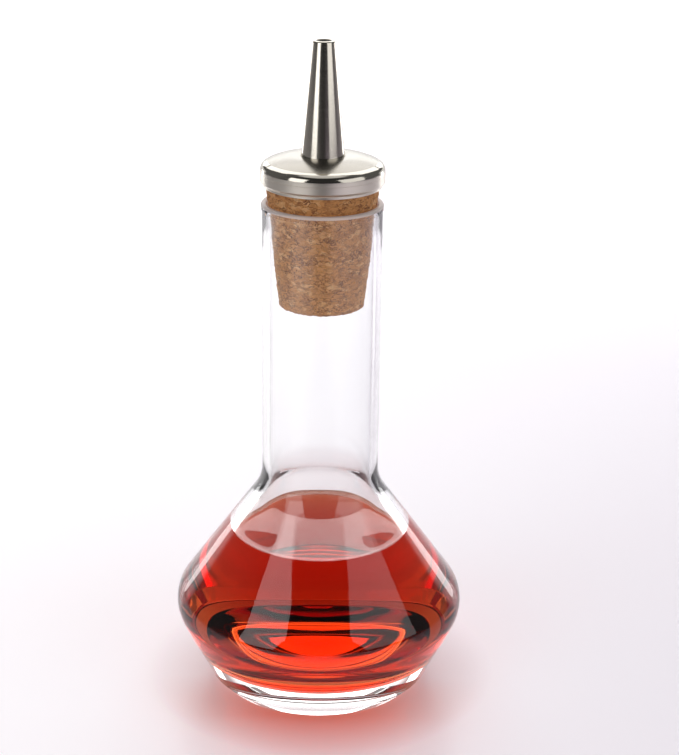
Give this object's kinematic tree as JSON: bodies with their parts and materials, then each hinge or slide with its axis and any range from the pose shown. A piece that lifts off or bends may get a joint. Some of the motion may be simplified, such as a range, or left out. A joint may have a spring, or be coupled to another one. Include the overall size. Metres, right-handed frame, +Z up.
{
  "type": "bitters bottle",
  "caption": "Clear double-cone dash bottle with a straight neck, a tapered cork stopper and a domed steel cap that carries a tapered pouring spout.",
  "frame": {"origin": "centre of the circle that the bottle stands on", "axes": "+Z up along the bottle's axis, towards the spout; the part is round about Z, and the pictured side faces -Y"},
  "size_m": [0.063, 0.063, 0.1409],
  "materials": {
    "clear_glass": "clear, polished",
    "red_bitters": "clear red liquid",
    "agglomerated_cork": "pressed cork granules, matt",
    "satin_steel": "satin stainless steel, edge polished"
  },
  "bodies": {
    "bottle": {"glass_bottle": "clear_glass", "bitters_fill": "red_bitters"},
    "stopper": {"cork_stopper": "agglomerated_cork", "dome_cap": "satin_steel", "pour_spout": "satin_steel", "stem_tube": "satin_steel"}
  },
  "joints": [
    {"name": "stopper_lift", "type": "slide", "parent": "bottle", "child": "stopper", "axis": [0, 0, 1], "range_m": [0, 0.045]}
  ]
}
